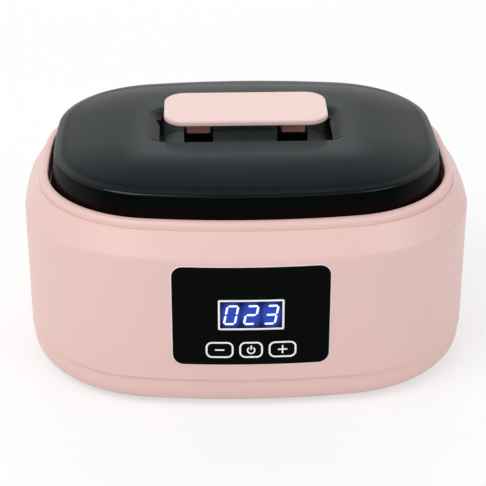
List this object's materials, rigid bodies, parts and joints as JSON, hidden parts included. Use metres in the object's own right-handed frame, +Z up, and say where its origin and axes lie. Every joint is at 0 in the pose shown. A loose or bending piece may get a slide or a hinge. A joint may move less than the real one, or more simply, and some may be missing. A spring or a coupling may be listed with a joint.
{
  "type": "wax warmer pot",
  "caption": "Oval heated wax bath with a pink housing, aluminium pot, smoked lift-off lid with a bridge handle, and a front panel with a display and press keys",
  "frame": {"origin": "centre of the footprint, on the table under the feet", "axes": "+X to the right along the longer side, +Y to the back, +Z up; the control panel looks along -Y"},
  "size_m": [0.3, 0.2389, 0.1662],
  "materials": {
    "pink_plastic": "soft satin pink",
    "handle_plastic": "pale pink, satin",
    "lid_gloss": "smoked black, glossy",
    "panel_gloss": "black, glossy",
    "key_gloss": "black, glossy, printed outline",
    "lens_blue": "dark blue filter",
    "module_black": "display case",
    "foot_rubber": "matt rubber",
    "gasket_rubber": "pale silicone",
    "heater_rubber": "orange silicone",
    "pot_aluminium": "drawn, satin",
    "clamp_aluminium": "plain sheet",
    "frame_steel": "zinc plated",
    "screw_steel": "zinc plated",
    "wrap_fabric": "glass fibre felt",
    "case_plastic": "black moulding",
    "board_green": "circuit board",
    "transformer_yellow": "taped coil",
    "relay_blue": "sealed case",
    "capacitor_sleeve": "shrink sleeve",
    "terminal_green": "terminal case",
    "connector_white": "nylon",
    "inlet_black": "moulded socket",
    "pin_brass": "plain",
    "lead_jacket": "wire jacket",
    "cable_jacket": "cable jacket",
    "grille_plastic": "pale heat-proof moulding"
  },
  "bodies": {
    "warmer": {"housing": "pink_plastic", "base_cover": "pink_plastic", "rubber_feet": "foot_rubber", "base_screws": "screw_steel", "inner_pot": "pot_aluminium", "pot_gasket": "gasket_rubber", "heater_mat": "heater_rubber", "clamp_plate": "clamp_aluminium", "stud_nuts": "screw_steel", "pot_frame": "frame_steel", "insulation_wrap": "wrap_fabric", "temperature_sensor": "screw_steel", "thermal_fuse": "case_plastic", "control_panel": "panel_gloss", "display_lens": "lens_blue", "display_module": "module_black", "display_board": "board_green", "tact_switches": "case_plastic", "display_screws": "screw_steel", "power_board": "board_green", "board_screws": "screw_steel", "transformer": "transformer_yellow", "relay": "relay_blue", "filter_capacitor": "capacitor_sleeve", "terminal_block": "terminal_green", "cable_connector": "connector_white", "power_inlet": "inlet_black", "inlet_pins": "pin_brass", "inlet_screws": "screw_steel", "mains_leads": "lead_jacket", "display_cable": "cable_jacket"},
    "lid": {"lid": "lid_gloss", "lid_handle": "handle_plastic", "handle_screws": "screw_steel"},
    "grille": {"guard_grille": "grille_plastic"},
    "low_key": {"low_key": "key_gloss"},
    "power_key": {"power_key": "key_gloss"},
    "high_key": {"high_key": "key_gloss"}
  },
  "joints": [
    {"name": "lid_lift", "type": "slide", "parent": "warmer", "child": "lid", "axis": [0, 0, 1], "range_m": [0, 0.15]},
    {"name": "grille_lift", "type": "slide", "parent": "warmer", "child": "grille", "axis": [0, 0, 1], "range_m": [0, 0.07]},
    {"name": "low_press", "type": "slide", "parent": "warmer", "child": "low_key", "axis": [0, 1, 0], "range_m": [0, 0.0005], "stiffness_N_per_m": 800},
    {"name": "power_press", "type": "slide", "parent": "warmer", "child": "power_key", "axis": [0, 1, 0], "range_m": [0, 0.0005], "stiffness_N_per_m": 800},
    {"name": "high_press", "type": "slide", "parent": "warmer", "child": "high_key", "axis": [0, 1, 0], "range_m": [0, 0.0005], "stiffness_N_per_m": 800}
  ]
}
